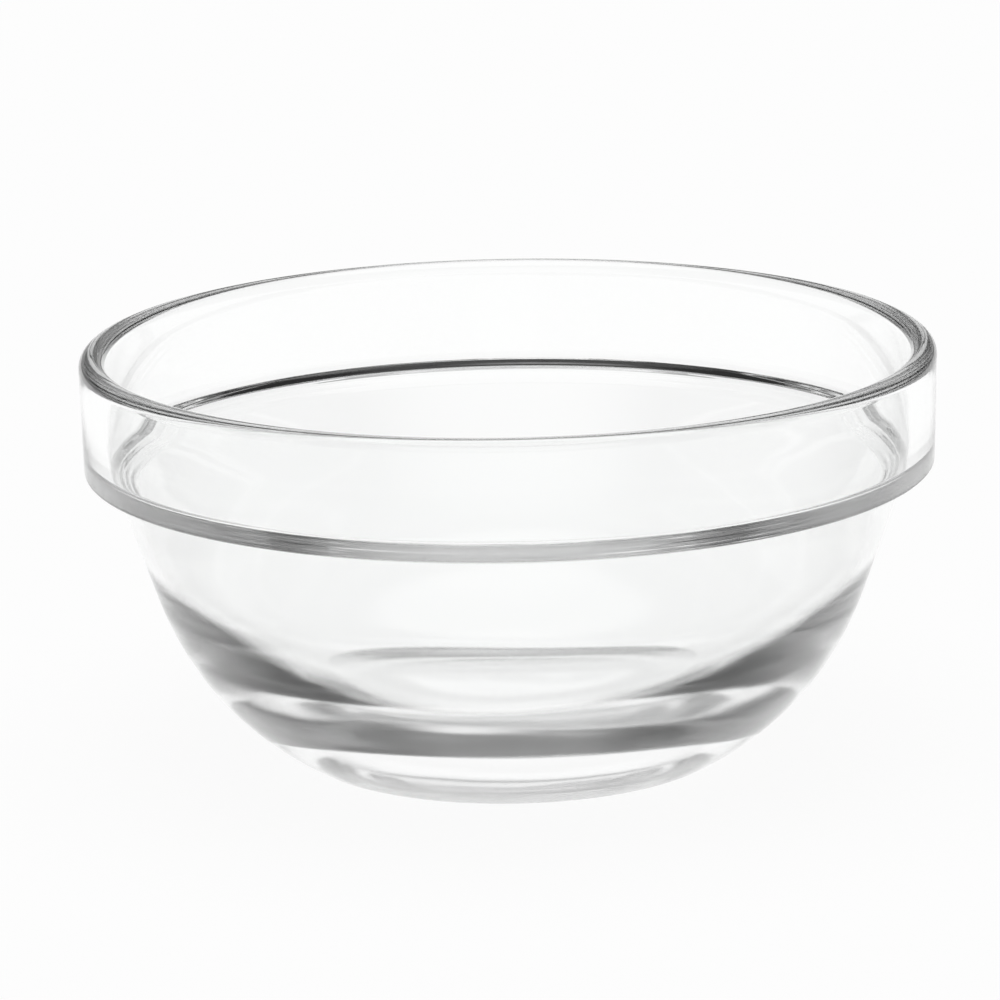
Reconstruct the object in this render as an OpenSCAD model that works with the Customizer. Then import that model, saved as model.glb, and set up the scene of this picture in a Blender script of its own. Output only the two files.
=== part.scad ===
// Stacking prep bowl in clear pressed glass, in millimetres.
// The bowl is one revolved section. Its origin is the centre of the base, on the standing plane, and +Z is up.

/* [Rim and collar] */
// Outside diameter across the lip
rim_d = 105; // [98:0.5:120]
// Height from the standing plane to the top of the lip
bowl_h = 51; // [47:0.5:60]
// Thickness of the glass at the lip
lip_t = 3.2; // [2.4:0.1:4]
// Rounding of each edge of the lip, at most about half of its thickness
lip_round = 1.5; // [0.6:0.1:2]
// Height of the collar, from the underside of the shoulder to the top of the lip
collar_h = 14.5; // [10:0.5:18]
// Flare of the collar's walls, in degrees from upright
collar_flare = 1.3; // [0.5:0.1:3]

/* [Stacking shoulder] */
// Room between the body and the lip of the bowl that it stacks into
stack_gap = 0.3; // [0.2:0.1:1.5]
// Rounding of the shoulder's outer edge
shoulder_round = 0.3; // [0.2:0.1:1]
// Hollow under the shoulder, where it runs into the body
shoulder_hollow = 1; // [0.2:0.1:1.2]
// Height of the ledge's outer end above the shoulder's underside
ledge_rise = 2; // [1.6:0.1:3.5]
// Fall of the ledge inside the collar towards the middle, in degrees
ledge_fall = 43; // [20:1:50]
// Hollow at the outer end of the ledge
ledge_hollow = 1.2; // [0.3:0.1:1.5]
// Rounding of the ledge's inner edge
ledge_round = 0.6; // [0.3:0.1:2.5]

/* [Body] */
// Thickness of the wall at the shoulder, square to its outside
wall_t = 2.8; // [2.4:0.1:4]
// Flare of the wall's outside, in degrees from upright
wall_flare = 18.9; // [15:0.1:21]
// Flare of the wall's inside, in degrees from upright
inner_flare = 15.2; // [14:0.1:21]
// Outside radius of the belly between the wall and the foot
belly_r = 37.5; // [30:0.5:44]
// Inside radius between the wall and the floor
inner_r = 29.5; // [20:0.5:32]

/* [Base] */
// Height of the floor's middle above the standing plane
floor_h = 5.1; // [4.5:0.1:8]
// Radius of the shallow dish that is the floor
floor_r = 300; // [150:10:600]
// Outer diameter of the standing ring's flat
foot_d = 52; // [48:0.5:58]
// Rounding of the foot's outer edge
foot_round = 1; // [0.4:0.1:2]
// Width of the standing ring's flat, round the recess under the base
ring_w = 4.5; // [3.5:0.1:8]
// Depth of the recess in its middle
recess_h = 0.5; // [0.3:0.1:1.5]
// Rounding of the recess's edge
recess_round = 7.5; // [1:0.5:10]

/* [Hidden] */
$fn = 180;
glass_colour = [0.86, 0.91, 0.89, 0.45];
// Largest distance between a rounding's points and its true arc
arc_tolerance = 0.035;
// Share of the lip's thickness that each of its roundings may take
lip_share = 0.48;
// Share of the recess's radius at which its side would meet the level of its middle
dome_share = 0.45;

// Directions in the section, where x is the radius and y the height
function along(angle) = [cos(angle), sin(angle)];
function across(angle) = along(angle + 90);
function direction(v) = atan2(v.y, v.x);
function unit(v) = v / norm(v);

// Point where the line through p at angle a meets the line through q at angle b
function meet(p, a, q, b) = p + along(a) * (cross(q - p, along(b)) / cross(along(a), along(b)));

// Centre of the arc of radius r that runs on from the line through p at angle a, on the line's left, and lies at
// distance d from q. Of the two such centres, way picks the one further along the line (1) or further back (-1).
function run_on(p, a, r, q, d, way) =
    let (reach = p + across(a) * r - q, back = reach * along(a))
    q + reach + along(a) * (way * sqrt(back * back - reach * reach + d * d) - back);

// Collar: its two faces lean alike, so the glass keeps the lip's thickness down to the shoulder
lip_rounding = min(lip_round, lip_share * lip_t);
shoulder_z = bowl_h - collar_h;
collar_angle = 90 - collar_flare;
collar_face = [rim_d / 2 - lip_rounding, bowl_h - lip_rounding] - across(collar_angle) * lip_rounding;
lip_outer = meet(collar_face, collar_angle, [0, bowl_h], 0);
lip_inner = meet(collar_face + across(collar_angle) * lip_t, collar_angle, [0, bowl_h], 0);
shoulder_edge = meet(collar_face, collar_angle, [0, shoulder_z], 0);

// Outside: the body passes inside the lip of the bowl below, and the belly swallows the rounding of the foot
wall_angle = 90 - wall_flare;
body_top = [lip_inner.x - stack_gap, shoulder_z];
foot_centre = [foot_d / 2, foot_round];
belly_centre = run_on(body_top, wall_angle, belly_r, foot_centre, belly_r - foot_round, 1);
foot_angle = direction(foot_centre - belly_centre) + 90;
foot_meets_belly = belly_centre - across(foot_angle) * belly_r;
foot_corner = meet(foot_meets_belly, foot_angle, [0, 0], 0);
belly_corner = meet(foot_meets_belly, foot_angle, body_top, wall_angle);

// Inside: the ledge runs down to the wall, and the wall's rounding runs out into the floor's dish
inner_angle = 90 - inner_flare;
inner_top = body_top + across(wall_angle) * wall_t;
ledge_outer = meet(lip_inner, collar_angle, [0, shoulder_z + ledge_rise], 0);
ledge_inner = meet(ledge_outer, ledge_fall, inner_top, inner_angle);
dish_centre = [0, floor_h + floor_r];
inner_centre = run_on(inner_top, inner_angle, inner_r, dish_centre, floor_r - inner_r, -1);
dish_angle = direction(inner_centre - dish_centre) + 90;
dish_end = dish_centre - across(dish_angle) * floor_r;
dish_corner = meet(dish_end, dish_angle, [0, floor_h], 0);
floor_corner = meet(dish_end, dish_angle, inner_top, inner_angle);

// Recess under the base: a dome whose side runs out straight to its edge
recess_edge = [foot_d / 2 - ring_w, 0];
recess_corner = [dome_share * recess_edge.x, recess_h];
recess_slope = -direction(recess_edge - recess_corner);
dome_r = recess_corner.x / tan(recess_slope / 2);

// Corners of the section against the clock from axis to axis, each with the radius of its rounding
section_corners = [
    [[0, recess_h], 0],
    [recess_corner, dome_r],
    [recess_edge, recess_round],
    [foot_corner, foot_round],
    [belly_corner, belly_r],
    [body_top, shoulder_hollow],
    [shoulder_edge, shoulder_round],
    [lip_outer, lip_rounding],
    [lip_inner, lip_rounding],
    [ledge_outer, ledge_hollow],
    [ledge_inner, ledge_round],
    [floor_corner, inner_r],
    [dish_corner, floor_r],
    [[0, floor_h], 0]
];
last_corner = len(section_corners) - 1;

// Rounding of a corner: the arc that touches both of its sides, as points within arc_tolerance of the true arc
function place(i) = section_corners[i][0];
function radius(i) = section_corners[i][1];
function side_before(i) = unit(place(i - 1) - place(i));
function side_after(i) = unit(place(i + 1) - place(i));
function half_angle(i) = acos(side_before(i) * side_after(i)) / 2;
function turn(i) = sign(cross(side_after(i), side_before(i))) * (180 - 2 * half_angle(i));
function start_angle(i) = direction(-side_before(i)) - sign(turn(i)) * 90;
function arc_centre(i) = place(i) + unit(side_before(i) + side_after(i)) * radius(i) / sin(half_angle(i));
function arc_steps(i) = ceil(abs(turn(i)) / (2 * acos(1 - arc_tolerance / radius(i))));
function rounding(i) = [
    for (k = [0:arc_steps(i)])
        arc_centre(i) + along(start_angle(i) + turn(i) * k / arc_steps(i)) * radius(i)
];

// Where one arc runs on from another or starts on the axis, its end repeats a point, which is left out
function distinct(points) = [
    for (i = [0:len(points) - 1])
        let (repeated = i > 0 && norm(points[i] - points[max(i - 1, 0)]) < arc_tolerance)
        if (!repeated && points[i].x > arc_tolerance) points[i]
];

// Right half of the bowl's section, with every corner rounded
module bowl_section() {
    roundings = [for (i = [1:last_corner - 1]) each rounding(i)];
    polygon([place(0), each distinct(roundings), place(last_corner)]);
}

// The bowl, pressed in one piece
module glass_bowl() {
    color(glass_colour) rotate_extrude() bowl_section();
}

glass_bowl();
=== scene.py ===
"""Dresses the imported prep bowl.

The bowl is one revolved surface in clear pressed glass. It stands on a pale table in soft light.
"""

import math

import bpy
import numpy as np
from bpy.props import FloatProperty, FloatVectorProperty, IntProperty, PointerProperty
from mathutils import Matrix, Vector


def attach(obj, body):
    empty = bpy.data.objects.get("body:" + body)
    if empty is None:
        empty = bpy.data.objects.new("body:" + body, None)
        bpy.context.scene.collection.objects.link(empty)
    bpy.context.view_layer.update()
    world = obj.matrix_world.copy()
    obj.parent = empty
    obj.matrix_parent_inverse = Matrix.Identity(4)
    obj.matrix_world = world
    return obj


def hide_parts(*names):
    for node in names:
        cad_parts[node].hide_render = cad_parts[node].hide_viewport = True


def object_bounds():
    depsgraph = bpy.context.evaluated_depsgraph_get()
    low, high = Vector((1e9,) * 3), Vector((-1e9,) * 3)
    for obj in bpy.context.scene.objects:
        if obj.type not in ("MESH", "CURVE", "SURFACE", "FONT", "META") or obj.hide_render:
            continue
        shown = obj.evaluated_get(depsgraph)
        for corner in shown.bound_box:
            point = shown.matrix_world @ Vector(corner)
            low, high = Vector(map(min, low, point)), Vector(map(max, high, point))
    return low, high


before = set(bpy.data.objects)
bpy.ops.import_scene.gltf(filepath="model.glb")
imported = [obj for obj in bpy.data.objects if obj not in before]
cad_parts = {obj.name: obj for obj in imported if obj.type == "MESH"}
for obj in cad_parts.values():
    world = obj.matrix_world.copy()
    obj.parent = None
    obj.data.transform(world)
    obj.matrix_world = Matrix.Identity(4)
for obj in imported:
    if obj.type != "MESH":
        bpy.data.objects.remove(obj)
CAD_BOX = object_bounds()
CAD_WIDTH = CAD_BOX[1].x - CAD_BOX[0].x
CAD_HEIGHT = CAD_BOX[1].z - CAD_BOX[0].z

bl_info = {
    "name": "Prep bowl in pressed glass",
    "version": (1, 0, 0),
    "blender": (4, 5, 0),
    "location": "3D View > Sidebar > Prep bowl",
    "description": "Builds a stacking prep bowl in clear glass, and a table to show it on",
    "category": "Add Mesh",
}

# Units
MM = 0.001
FULL_TURN = 2 * math.pi
QUARTER_TURN = math.pi / 2

# Share of the recess's radius at which its side would meet the level of its middle
DOME_SHARE = 0.45

# Largest steps between the section's points, and the distance at which two points are the same
ARC_STEP = math.radians(5)
ARC_RUN = 0.9 * MM
STRAIGHT_RUN = 2.2 * MM
SAME_POINT = 0.01 * MM

# Pressing waves: strength, waves round the bowl, turn along a run of the section, and start
PRESSING_WAVES = ((1.0, 2, 21, 0.4), (0.8, 3, -34, 1.9), (0.6, 5, 55, 2.7), (0.4, 9, -16, 0.8))
WAVE_RUN = 60 * MM

# Shares of the bowl's height over which the waves fade out at the foot and at the lip
FOOT_FADE = 1 / 8
LIP_FADE = 1 / 12

# Scale and detail of the noise in the glass, and the height up to which the standing ring is worn
CLOUD_NOISE = (38, 2)
SCUFF_NOISE = (900, 4)
GRAIN_NOISE = (240, 2)
WORN_HEIGHT = 0.6 * MM

# Radii of the table's rings in metres, the points in each, and the gap that keeps glass and table apart
TABLE_RINGS = (0.05, 0.2, 0.8, 3.0)
TABLE_POINTS = 64
TABLE_GAP = 0.05 * MM

# Square of the sideways share of a direction at which the side panels start, and half of their soft edge
PANEL_EDGE = 0.75
PANEL_SOFT = 0.2

# Bounces of light in the glass, and the nearest distance that the camera shows
BOUNCES = 20
CLIP_START = 10 * MM

# Rays that see a thing, as opposed to rays by which it gives light
SEEING_RAYS = ("Camera", "Glossy", "Transmission")


def length(name, description, millimetres):
    """A size that a user can set, given in millimetres and kept in metres."""
    return FloatProperty(
        name=name, description=description, default=millimetres * MM, min=0, precision=5, unit="LENGTH"
    )


def angle(name, description, degrees):
    """An angle that a user can set, given in degrees and kept in radians."""
    return FloatProperty(name=name, description=description, default=math.radians(degrees), unit="ROTATION")


def share(name, description, value, top=1.0):
    """A plain number between nothing and top."""
    return FloatProperty(
        name=name, description=description, default=value, min=0, max=top, precision=4, subtype="FACTOR"
    )


def colour(name, description, value):
    """A linear colour."""
    return FloatVectorProperty(
        name=name, description=description, default=value, subtype="COLOR", min=0, max=1
    )


class BowlSizes(bpy.types.PropertyGroup):
    """Sizes of the bowl's section, as in the part's source, and of the fine forms on its surface."""

    rim_d: length("Rim diameter", "Outside diameter across the lip", CAD_WIDTH / MM)
    bowl_h: length("Height", "Standing plane to the top of the lip", CAD_HEIGHT / MM)
    lip_t: length("Lip thickness", "Thickness of the glass at the lip", 3.2)
    lip_round: length("Lip rounding", "Rounding of each edge of the lip", 1.5)
    collar_h: length("Collar height", "Underside of the shoulder to the top of the lip", 14.5)
    collar_flare: angle("Collar flare", "Flare of the collar's walls from upright", 1.3)
    stack_gap: length("Stacking room", "Room between the body and the lip that it stacks into", 0.3)
    shoulder_round: length("Shoulder rounding", "Rounding of the shoulder's outer edge", 0.3)
    shoulder_hollow: length("Shoulder hollow", "Hollow where the shoulder runs into the body", 1)
    ledge_rise: length("Ledge height", "Height of the ledge's outer end above the shoulder's underside", 2)
    ledge_fall: angle("Ledge fall", "Fall of the ledge inside the collar towards the middle", 43)
    ledge_hollow: length("Ledge hollow", "Hollow at the outer end of the ledge", 1.2)
    ledge_round: length("Ledge rounding", "Rounding of the ledge's inner edge", 0.6)
    wall_t: length("Wall thickness", "Thickness of the wall at the shoulder, square to its outside", 2.8)
    wall_flare: angle("Wall flare", "Flare of the wall's outside from upright", 18.9)
    inner_flare: angle("Inner flare", "Flare of the wall's inside from upright", 15.2)
    belly_r: length("Belly radius", "Outside radius between the wall and the foot", 37.5)
    inner_r: length("Inner radius", "Inside radius between the wall and the floor", 29.5)
    floor_h: length("Floor height", "Height of the floor's middle above the standing plane", 5.1)
    floor_r: length("Floor radius", "Radius of the shallow dish that is the floor", 300)
    foot_d: length("Foot diameter", "Outer diameter of the standing ring's flat", 52)
    foot_round: length("Foot rounding", "Rounding of the foot's outer edge", 1)
    ring_w: length("Standing ring", "Width of the standing ring's flat, round the recess", 4.5)
    recess_h: length("Recess depth", "Depth of the recess in its middle", 0.5)
    recess_round: length("Recess rounding", "Rounding of the recess's edge", 7.5)
    line_depth: length("Mould line depth", "Half of the depth of the fine turned lines on the ledge", 0.03)
    line_round: length("Mould line rounding", "Rounding of the fine turned lines on the ledge", 1.2)
    line_count: IntProperty(
        name="Mould line count", description="Number of fine turned lines on the ledge", default=4, min=0
    )
    ripple: length("Ripple", "Height of the shallow waves that pressing leaves in the faces", 0.035)
    turn_points: IntProperty(name="Points round", description="Points round the bowl", default=360, min=64)


class GlassLook(bpy.types.PropertyGroup):
    """Look of the clear glass."""

    tint: colour("Tint", "Colour of the glass where it is clearest", (0.997, 1.0, 0.998))
    tint_deep: colour("Deep tint", "Colour of the glass where it is slightly fuller", (0.99, 0.996, 0.993))
    ior: FloatProperty(name="Refraction", description="Index of refraction", default=1.52, min=1, max=2)
    polish: share("Polish", "Roughness of the fire-polished lip and collar", 0.025)
    pressed: share("Pressed faces", "Roughness of the body's faces as the mould leaves them", 0.065)
    fire_low: length("Fire polish start", "Height at which the fire polish starts", 28)
    fire_high: length("Fire polish end", "Height at which the fire polish is full", 37)
    wear: share("Wear", "Roughness of the worn standing ring", 0.12)
    grain: length("Surface grain", "Height of the faint unevenness in the faces", 0.004)


class StageLook(bpy.types.PropertyGroup):
    """Table, light and camera."""

    table: colour("Table", "Colour of the table", (0.9, 0.9, 0.9))
    table_glow: share("Table white", "Share of plain white in the table as the camera sees it", 0.94)
    table_shown: share("Table white in glass", "Share of plain white in the table as the glass shows it", 1.0)
    cap_light: share("Overhead light", "Strength at which the soft light overhead lights the table", 2.8, 10)
    cap_white: share("Overhead white", "Strength of the overhead light as the glass shows it", 0.9)
    cap_rise: angle("Overhead edge", "Height above the horizon at which the overhead light starts", 61)
    window_light: share("Window", "Strength of the window behind the bowl", 1.0)
    window_sill: share("Window sill", "Strength of the wall under the window", 0.12)
    window_low: angle("Window bottom", "Height of the window's lower edge above the horizon", 24)
    window_high: angle("Window top", "Height of the window's upper edge above the horizon", 40)
    window_side: angle("Window side", "Half of the window's width", 17)
    window_soft: share("Window softness", "Half of the width of the window's soft sides, as a sine", 0.12)
    glow_light: share("Horizon glow", "Strength of the glow low behind the bowl", 0.3)
    glow_high: angle("Horizon glow top", "Height above the horizon at which the glow ends", 7)
    edge_soft: share("Soft edges", "Half of the width of each other soft edge, as a sine", 0.04)
    side_left: share("Left panel", "Strength of the pale panel on the left", 0.15)
    side_right: share("Right panel", "Strength of the pale panel on the right", 0.1)
    room_back: share("Room, back", "Strength of the dim room behind and beside the bowl", 0.03)
    room_front: share("Room, front", "Strength of the soft light beside the camera", 0.8)
    front_edge: share("Front edge", "Where the light beside the camera ends, as a cosine", 0.75)
    front_soft: share("Front softness", "Half of the width of that light's soft edge, as a cosine", 0.2)
    room_right: share("Room, right", "Strength of the room on the right as a share of that on the left", 0.8)
    camera_distance: length("Camera distance", "Camera to the middle of the bowl", 735)
    camera_rise: angle("Camera rise", "Height of the camera above the horizon", 14.31)
    camera_roll: angle("Camera roll", "Turn of the camera about its own axis", 1.03)
    lens: FloatProperty(name="Lens", description="Focal length", default=214.3, min=1, unit="CAMERA")
    aim_right: length("Aim, right", "How far right of the picture's centre the bowl's middle stands", 1.35)
    aim_down: length("Aim, down", "How far below the picture's centre the bowl's middle stands", 5.48)


def along(turn):
    """Unit vector at that angle in the section, where x is the radius and y the height."""
    return np.array([math.cos(turn), math.sin(turn)])


def across(turn):
    """Unit vector a quarter turn against the clock from that angle."""
    return along(turn + QUARTER_TURN)


def cross(a, b):
    """Area of the parallelogram between two vectors of the section, signed against the clock."""
    return a[0] * b[1] - a[1] * b[0]


def meet(p, a, q, b):
    """Point where the line through p at angle a meets the line through q at angle b."""
    return p + along(a) * cross(q - p, along(b)) / cross(along(a), along(b))


def heading(vector):
    """Angle of a vector of the section."""
    return math.atan2(vector[1], vector[0])


def run_on(p, a, radius, q, distance, way):
    """Centre of the arc that runs on from the line through p at angle a and lies at a distance from q.

    The arc is on the line's left. Of the two such centres, way picks the one further along the line (1) or
    further back (-1).
    """
    reach = p + across(a) * radius - q
    back = reach @ along(a)
    return q + reach + along(a) * (way * math.sqrt(back ** 2 - reach @ reach + distance ** 2) - back)


def mould_lines(start, end, size):
    """Corners of fine lines along a side: points at even spacing, in turn above and below it."""
    count = 2 * size.line_count
    spots = (np.arange(count) + 1) / (count + 1)
    offset = size.line_depth * (-1.0) ** np.arange(count)
    square = across(heading(end - start))
    places = start + spots[:, None] * (end - start) + offset[:, None] * square
    return [(place, size.line_round) for place in places]


def section_corners(size):
    """Corners of the section against the clock from axis to axis, each with the radius of its rounding.

    The collar's faces lean alike, and the body passes inside the lip of the bowl below. The belly is an arc
    that runs on from the wall and swallows the rounding of the foot. The wall's inner rounding runs out into
    the floor's dish.
    """
    level = 0.0
    ground = np.zeros(2)
    top = np.array([0, size.bowl_h])
    shelf = np.array([0, size.bowl_h - size.collar_h])
    collar_angle = QUARTER_TURN - size.collar_flare
    lip_centre = np.array([size.rim_d / 2 - size.lip_round, size.bowl_h - size.lip_round])
    collar_face = lip_centre - across(collar_angle) * size.lip_round
    lip_outer = meet(collar_face, collar_angle, top, level)
    lip_inner = meet(collar_face + across(collar_angle) * size.lip_t, collar_angle, top, level)
    shoulder_edge = meet(collar_face, collar_angle, shelf, level)

    wall_angle = QUARTER_TURN - size.wall_flare
    body_top = np.array([lip_inner[0] - size.stack_gap, shelf[1]])
    foot_centre = np.array([size.foot_d / 2, size.foot_round])
    belly_reach = size.belly_r - size.foot_round
    belly_centre = run_on(body_top, wall_angle, size.belly_r, foot_centre, belly_reach, 1)
    foot_angle = heading(foot_centre - belly_centre) + QUARTER_TURN
    foot_meets_belly = belly_centre - across(foot_angle) * size.belly_r
    foot_corner = meet(foot_meets_belly, foot_angle, ground, level)
    belly_corner = meet(foot_meets_belly, foot_angle, body_top, wall_angle)

    inner_angle = QUARTER_TURN - size.inner_flare
    inner_top = body_top + across(wall_angle) * size.wall_t
    ledge_outer = meet(lip_inner, collar_angle, shelf + np.array([0, size.ledge_rise]), level)
    ledge_inner = meet(ledge_outer, size.ledge_fall, inner_top, inner_angle)
    floor_middle = np.array([0, size.floor_h])
    dish_centre = floor_middle + np.array([0, size.floor_r])
    dish_reach = size.floor_r - size.inner_r
    inner_centre = run_on(inner_top, inner_angle, size.inner_r, dish_centre, dish_reach, -1)
    dish_angle = heading(inner_centre - dish_centre) + QUARTER_TURN
    dish_end = dish_centre - across(dish_angle) * size.floor_r
    dish_corner = meet(dish_end, dish_angle, floor_middle, level)
    floor_corner = meet(dish_end, dish_angle, inner_top, inner_angle)

    recess_middle = np.array([0, size.recess_h])
    recess_edge = np.array([size.foot_d / 2 - size.ring_w, 0])
    recess_corner = np.array([DOME_SHARE * recess_edge[0], size.recess_h])
    dome_r = recess_corner[0] / math.tan(-heading(recess_edge - recess_corner) / 2)
    return [
        (recess_middle, 0.0),
        (recess_corner, dome_r),
        (recess_edge, size.recess_round),
        (foot_corner, size.foot_round),
        (belly_corner, size.belly_r),
        (body_top, size.shoulder_hollow),
        (shoulder_edge, size.shoulder_round),
        (lip_outer, size.lip_round),
        (lip_inner, size.lip_round),
        (ledge_outer, size.ledge_hollow),
        *mould_lines(ledge_outer, ledge_inner, size),
        (ledge_inner, size.ledge_round),
        (floor_corner, size.inner_r),
        (dish_corner, size.floor_r),
        (floor_middle, 0.0),
    ]


def unit_rows(vectors):
    """Each row of an array as a unit vector."""
    return vectors / np.linalg.norm(vectors, axis=1)[:, None]


def rounded_profile(corners):
    """Points of the section from axis to axis.

    Each corner gives the arc that touches both of its sides, in steps of a small angle or a short run. Each
    side gives points at even spacing between the arcs at its ends.
    """
    places = np.array([place for place, _ in corners])
    radii = np.array([radius for _, radius in corners])
    before = unit_rows(np.roll(places, 1, 0) - places)
    after = unit_rows(np.roll(places, -1, 0) - places)
    half = np.arccos(np.sum(before * after, axis=1)) / 2
    centres = places + unit_rows(before + after) * (radii / np.sin(half))[:, None]
    way = np.sign(after[:, 0] * before[:, 1] - after[:, 1] * before[:, 0])
    sweep = way * (math.pi - 2 * half)
    start = np.arctan2(-before[:, 1], -before[:, 0]) - way * QUARTER_TURN
    runs = []
    for i, radius in enumerate(radii):
        if radius > 0:
            count = int(max(abs(sweep[i]) / ARC_STEP, abs(sweep[i]) * radius / ARC_RUN)) + 2
            turn = start[i] + np.linspace(0, 1, count) * sweep[i]
            runs.append(centres[i] + radius * np.stack([np.cos(turn), np.sin(turn)], axis=1))
        else:
            runs.append(places[i][None])
    points = [runs[0]]
    for here, following in zip(runs, runs[1:]):
        gap = following[0] - here[-1]
        count = int(np.linalg.norm(gap) / STRAIGHT_RUN) + 1
        inner = np.linspace(0, 1, count + 1)[1:-1, None]
        points += [here[-1] + inner * gap, following]
    points = np.concatenate(points[1:-1])
    step = np.linalg.norm(np.diff(points, axis=0, prepend=places[:1]), axis=1)
    distinct = points[(step > SAME_POINT) & (points[:, 0] > SAME_POINT)]
    return np.concatenate([places[:1], distinct, places[-1:]])


def pressing_waves(turn, run, size):
    """Height of the shallow waves in the faces: a sum of slow sines round the bowl and along the section."""
    waves = sum(
        strength * np.sin(rounds * turn + runs * run / WAVE_RUN + start)
        for strength, rounds, runs, start in PRESSING_WAVES
    )
    return size.ripple * waves / sum(strength for strength, *_ in PRESSING_WAVES)


def carry_round(profile, size):
    """Vertices, four-sided faces and triangles of the profile carried round the axis.

    A ring point is (r cos t, r sin t, z) for each profile point (r, z) and each of some even turns t, moved
    along the section's normal by the pressing waves. The first and last profile points lie on the axis and
    close the two poles with triangles.
    """
    count = size.turn_points
    rings = profile[1:-1]
    slope = np.gradient(profile, axis=0)[1:-1]
    normal = unit_rows(np.stack([slope[:, 1], -slope[:, 0]], axis=1))
    run = np.cumsum(np.linalg.norm(np.diff(profile, axis=0), axis=1))[:-1]
    turn = np.arange(count) * FULL_TURN / count
    height = rings[:, 1] / size.bowl_h
    hold = np.clip(height / FOOT_FADE, 0, 1) * np.clip((1 - height) / LIP_FADE, 0, 1)
    moved = pressing_waves(turn[None, :], run[:, None], size) * hold[:, None]
    radius = rings[:, 0, None] + normal[:, 0, None] * moved
    level = rings[:, 1, None] + normal[:, 1, None] * moved
    points = np.stack([radius * np.cos(turn), radius * np.sin(turn), level], axis=2).reshape(-1, 3)
    poles = np.array([[0, 0, profile[0, 1]], [0, 0, profile[-1, 1]]])
    vertices = np.concatenate([points, poles])

    here = np.arange(count)
    ahead = np.roll(here, -1)
    row = np.arange(len(rings) - 1)[:, None] * count
    corners = [row + here, row + ahead, row + count + ahead, row + count + here]
    quads = np.stack(corners, axis=2).reshape(-1, 4)
    low_pole, high_pole = len(points), len(points) + 1
    last = (len(rings) - 1) * count
    low = np.stack([np.full(count, low_pole), ahead, here], axis=1)
    high = np.stack([np.full(count, high_pole), last + here, last + ahead], axis=1)
    return vertices, quads, np.concatenate([low, high])


def surface(name, vertices, quads, triangles, material):
    """A smooth mesh object at the origin from arrays of points, four-sided faces and triangles."""
    mesh = bpy.data.meshes.new(name)
    mesh.from_pydata(vertices.tolist(), [], quads.tolist() + triangles.tolist())
    mesh.polygons.foreach_set("use_smooth", np.ones(len(mesh.polygons), bool))
    mesh.materials.append(material)
    mesh.validate()
    piece = bpy.data.objects.new(name, mesh)
    bpy.context.scene.collection.objects.link(piece)
    return piece


def new_material(name):
    """A node material with a Principled shader, its node tree and that shader."""
    material = bpy.data.materials.new(name)
    material.use_nodes = True
    return material, material.node_tree, material.node_tree.nodes["Principled BSDF"]


def set_values(node, values):
    """Plain values set on a node's named sockets."""
    for name, value in values.items():
        node.inputs[name].default_value = value


def combine(tree, operation, *values):
    """Sockets or plain numbers joined by one operation, the first with the second, and so on."""
    joined = values[0]
    for value in values[1:]:
        node = tree.nodes.new("ShaderNodeMath")
        node.operation = operation
        for socket, item in zip(node.inputs, (joined, value)):
            if isinstance(item, bpy.types.NodeSocket):
                tree.links.new(item, socket)
            else:
                socket.default_value = item
        joined = node.outputs["Value"]
    return joined


def clear_pressed_glass(look):
    """Clear glass: a faint change of tint, fire polish towards the lip, faint grain and a worn foot."""
    material, tree, glass = new_material("clear_pressed_glass")
    nodes, link = tree.nodes, tree.links.new
    set_values(glass, {"Transmission Weight": 1.0, "IOR": look.ior})
    place = nodes.new("ShaderNodeTexCoord").outputs["Object"]

    def noise(scale, detail):
        """Noise on the object's own coordinates."""
        node = nodes.new("ShaderNodeTexNoise")
        set_values(node, {"Scale": scale, "Detail": detail})
        link(place, node.inputs["Vector"])
        return node.outputs["Fac"]

    def by_height(values):
        """A value that changes evenly between two heights."""
        node = nodes.new("ShaderNodeMapRange")
        set_values(node, values)
        link(height, node.inputs["Value"])
        return node.outputs["Result"]

    shade = nodes.new("ShaderNodeMix")
    shade.data_type = "RGBA"
    set_values(shade, {"A": (*look.tint, 1), "B": (*look.tint_deep, 1)})
    link(noise(*CLOUD_NOISE), shade.inputs["Factor"])
    link(shade.outputs["Result"], glass.inputs["Base Color"])

    parts = nodes.new("ShaderNodeSeparateXYZ")
    link(place, parts.inputs["Vector"])
    height = parts.outputs["Z"]
    ring = by_height({"From Min": WORN_HEIGHT, "From Max": 0})
    fire = by_height({
        "From Min": look.fire_low, "From Max": look.fire_high, "To Min": look.pressed, "To Max": look.polish,
    })
    rough = nodes.new("ShaderNodeMapRange")
    rough.inputs["To Max"].default_value = look.wear
    link(combine(tree, "MULTIPLY", ring, noise(*SCUFF_NOISE)), rough.inputs["Value"])
    link(fire, rough.inputs["To Min"])
    link(rough.outputs["Result"], glass.inputs["Roughness"])

    bump = nodes.new("ShaderNodeBump")
    set_values(bump, {"Strength": 1.0, "Distance": look.grain})
    link(noise(*GRAIN_NOISE), bump.inputs["Height"])
    link(bump.outputs["Normal"], glass.inputs["Normal"])
    return material


class PREPBOWL_OT_bowl(bpy.types.Operator):
    """Builds the pressed bowl as one revolved surface in clear glass"""

    bl_idname = "prepbowl.bowl"
    bl_label = "Press the bowl"

    def execute(self, context):
        """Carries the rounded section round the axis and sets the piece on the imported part."""
        size = context.scene.prepbowl_sizes
        shape = carry_round(rounded_profile(section_corners(size)), size)
        bowl = surface("pressed_bowl", *shape, clear_pressed_glass(context.scene.prepbowl_glass))
        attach(bowl, "root")
        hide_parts("glass_bowl")
        return {"FINISHED"}


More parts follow.
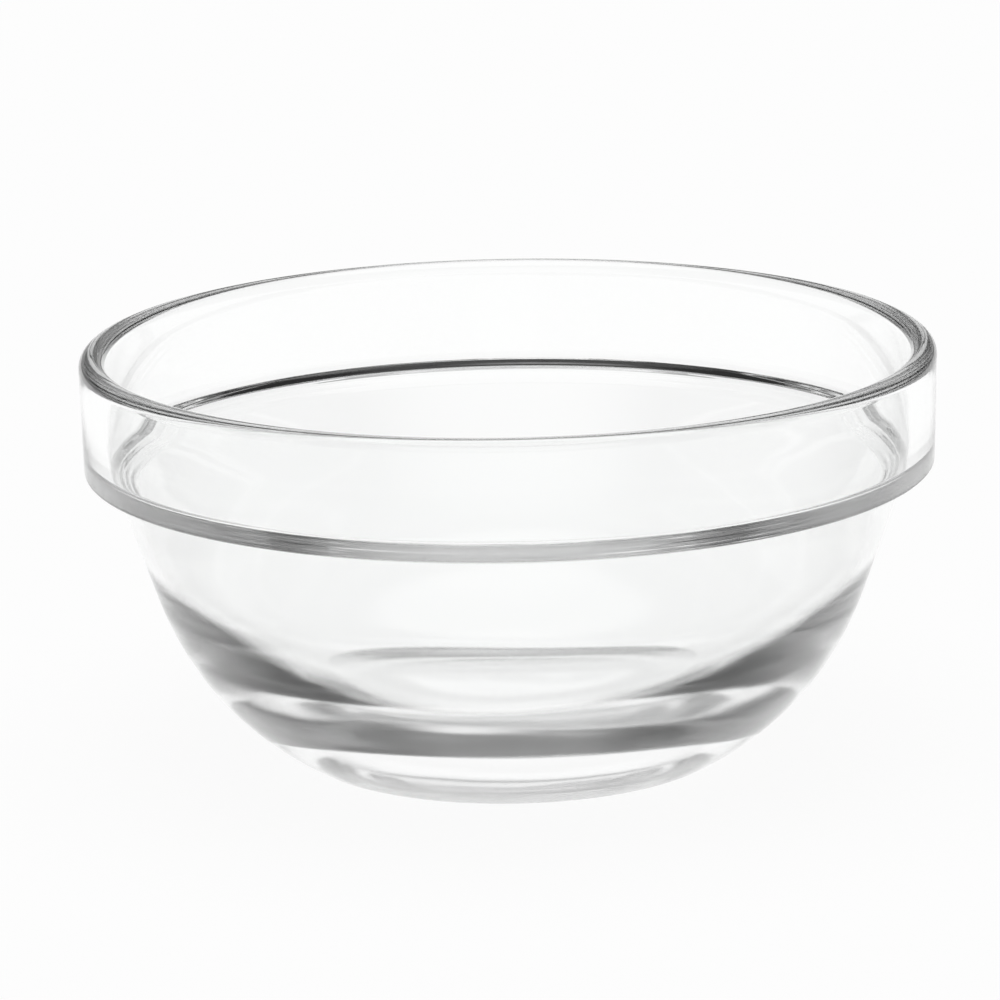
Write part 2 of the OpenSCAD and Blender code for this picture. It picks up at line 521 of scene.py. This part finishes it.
def table_white(look):
    """Pale table: it takes the bowl's shadow, and the camera and the glass see it nearly white."""
    material, tree, _ = new_material("pale_table")
    nodes, link = tree.nodes, tree.links.new
    nodes.clear()
    out = nodes.new("ShaderNodeOutputMaterial")
    matt = nodes.new("ShaderNodeBsdfDiffuse")
    set_values(matt, {"Color": (*look.table, 1)})
    white = nodes.new("ShaderNodeEmission")
    path = nodes.new("ShaderNodeLightPath")
    shares = zip(SEEING_RAYS, (look.table_glow, look.table_shown, look.table_shown))
    seen = (combine(tree, "MULTIPLY", path.outputs["Is %s Ray" % kind], number) for kind, number in shares)
    mix = nodes.new("ShaderNodeMixShader")
    link(combine(tree, "MAXIMUM", *seen), mix.inputs["Fac"])
    link(matt.outputs["BSDF"], mix.inputs[1])
    link(white.outputs["Emission"], mix.inputs[2])
    link(mix.outputs["Shader"], out.inputs["Surface"])
    return material


def table_top(look):
    """A round table top: rings of points (r cos t, r sin t) just under the bowl, closed in the middle."""
    count = TABLE_POINTS
    turn = np.arange(count) * FULL_TURN / count
    radius = np.array(TABLE_RINGS)[:, None]
    level = np.full((len(radius), count), -TABLE_GAP)
    points = np.stack([radius * np.cos(turn), radius * np.sin(turn), level], axis=2).reshape(-1, 3)
    here = np.arange(count)
    ahead = np.roll(here, -1)
    row = np.arange(len(radius) - 1)[:, None] * count
    corners = [row + here, row + count + here, row + count + ahead, row + ahead]
    quads = np.stack(corners, axis=2).reshape(-1, 4)
    vertices = np.concatenate([points, [[0, 0, -TABLE_GAP]]])
    fan = np.stack([np.full(count, len(points)), here, ahead], axis=1)
    return surface("table_top", vertices, quads, fan, table_white(look))


def studio_world(scene, look):
    """Soft surround by direction: cap overhead, window behind, glow at the horizon, side panels, dim room.

    The cap lights the table at its own strength, and the glass shows it as plain white.
    """
    world = bpy.data.worlds.new("soft_surround")
    scene.world = world
    world.use_nodes = True
    tree = world.node_tree
    nodes, link = tree.nodes, tree.links.new
    parts = nodes.new("ShaderNodeSeparateXYZ")
    link(nodes.new("ShaderNodeTexCoord").outputs["Generated"], parts.inputs["Vector"])
    right, back, rise = (parts.outputs[axis] for axis in "XYZ")

    def step(value, edge, soft, start, end):
        """Smooth step of a value from one level to another across a soft edge."""
        node = nodes.new("ShaderNodeMapRange")
        node.interpolation_type = "SMOOTHSTEP"
        link(value, node.inputs["Value"])
        set_values(node, {"From Min": edge - soft, "From Max": edge + soft, "To Min": start, "To Max": end})
        return node.outputs["Result"]

    def slide(value, start, end):
        """Smooth change from one side of the surround to the other."""
        return step(value, 0, 1, start, end)

    def product(*values):
        """Product of some sockets."""
        return combine(tree, "MULTIPLY", *values)

    path = nodes.new("ShaderNodeLightPath")
    seen = combine(tree, "MAXIMUM", *(path.outputs["Is %s Ray" % kind] for kind in SEEING_RAYS))
    strength = step(seen, 0.5, 0.5, look.cap_light, look.cap_white)
    soft = look.edge_soft
    cap = product(step(rise, math.sin(look.cap_rise), soft, 0, 1), strength)
    low, high = math.sin(look.window_low), math.sin(look.window_high)
    side = math.sin(look.window_side)
    window = product(
        step(rise, low, soft, look.window_sill, look.window_light),
        step(rise, high, soft, 1, 0),
        step(right, -side, look.window_soft, 0, 1),
        step(right, side, look.window_soft, 1, 0),
        step(back, 0, soft, 0, 1),
    )
    glow = product(step(rise, math.sin(look.glow_high), soft, look.glow_light, 0), slide(back, 0, 1))
    panels = product(
        step(product(right, right), PANEL_EDGE, PANEL_SOFT, 0, 1),
        step(rise, low, soft, 1, 0),
        slide(right, look.side_left, look.side_right),
    )
    room = product(
        step(back, -look.front_edge, look.front_soft, look.room_front, look.room_back),
        slide(right, 1, look.room_right),
    )
    link(combine(tree, "ADD", cap, window, glow, panels, room), nodes["Background"].inputs["Color"])


def set_camera(scene, look):
    """Camera before the bowl, turned a little about its axis, with the bowl just under the centre."""
    middle = Vector((0, 0, CAD_HEIGHT / 2))
    ahead = Vector((0, math.cos(look.camera_rise), -math.sin(look.camera_rise)))
    right = Vector((1, 0, 0))
    up = right.cross(ahead)
    turned_right = right * math.cos(look.camera_roll) - up * math.sin(look.camera_roll)
    turned_up = right * math.sin(look.camera_roll) + up * math.cos(look.camera_roll)
    aim = ahead * look.camera_distance - turned_right * look.aim_right + turned_up * look.aim_down
    aim.normalize()
    side = (turned_right - aim * turned_right.dot(aim)).normalized()
    top = side.cross(aim)
    data = bpy.data.cameras.new("camera")
    data.lens = look.lens
    data.clip_start = CLIP_START
    camera = bpy.data.objects.new("camera", data)
    scene.collection.objects.link(camera)
    turn = Matrix((side, top, -aim)).transposed().to_4x4()
    camera.matrix_world = Matrix.Translation(middle - ahead * look.camera_distance) @ turn
    scene.camera = camera


class PREPBOWL_OT_stage(bpy.types.Operator):
    """Lays the table, the soft light and the camera"""

    bl_idname = "prepbowl.stage"
    bl_label = "Lay the stage"

    def execute(self, context):
        """Sets up everything that isn't part of the bowl."""
        scene = context.scene
        look = scene.prepbowl_stage
        table_top(look)
        studio_world(scene, look)
        set_camera(scene, look)
        scene.view_settings.view_transform = "Standard"
        scene.cycles.max_bounces = BOUNCES
        scene.cycles.glossy_bounces = BOUNCES
        scene.cycles.transmission_bounces = BOUNCES
        return {"FINISHED"}


class PREPBOWL_PT_panel(bpy.types.Panel):
    """Lists the bowl's sizes, its glass and its stage"""

    bl_label = "Prep bowl"
    bl_idname = "PREPBOWL_PT_panel"
    bl_space_type = "VIEW_3D"
    bl_region_type = "UI"
    bl_category = "Prep bowl"

    def draw(self, context):
        """One button for each operator, then the values that it reads."""
        groups = {
            "prepbowl.bowl": ("prepbowl_sizes", "prepbowl_glass"),
            "prepbowl.stage": ("prepbowl_stage",),
        }
        for operator, names in groups.items():
            self.layout.operator(operator)
            for name in names:
                group = getattr(context.scene, name)
                for value in group.__annotations__:
                    self.layout.prop(group, value)


CLASSES = (BowlSizes, GlassLook, StageLook, PREPBOWL_OT_bowl, PREPBOWL_OT_stage, PREPBOWL_PT_panel)


def register():
    """Registers the classes and puts their values on the scene."""
    for item in CLASSES:
        bpy.utils.register_class(item)
    bpy.types.Scene.prepbowl_sizes = PointerProperty(type=BowlSizes)
    bpy.types.Scene.prepbowl_glass = PointerProperty(type=GlassLook)
    bpy.types.Scene.prepbowl_stage = PointerProperty(type=StageLook)


def unregister():
    """Takes the values and the classes away again."""
    del bpy.types.Scene.prepbowl_sizes
    del bpy.types.Scene.prepbowl_glass
    del bpy.types.Scene.prepbowl_stage
    for item in reversed(CLASSES):
        bpy.utils.unregister_class(item)


def main():
    """Builds the bowl and its stage."""
    register()
    bpy.ops.prepbowl.bowl()
    bpy.ops.prepbowl.stage()


if __name__ == "__main__":
    main()
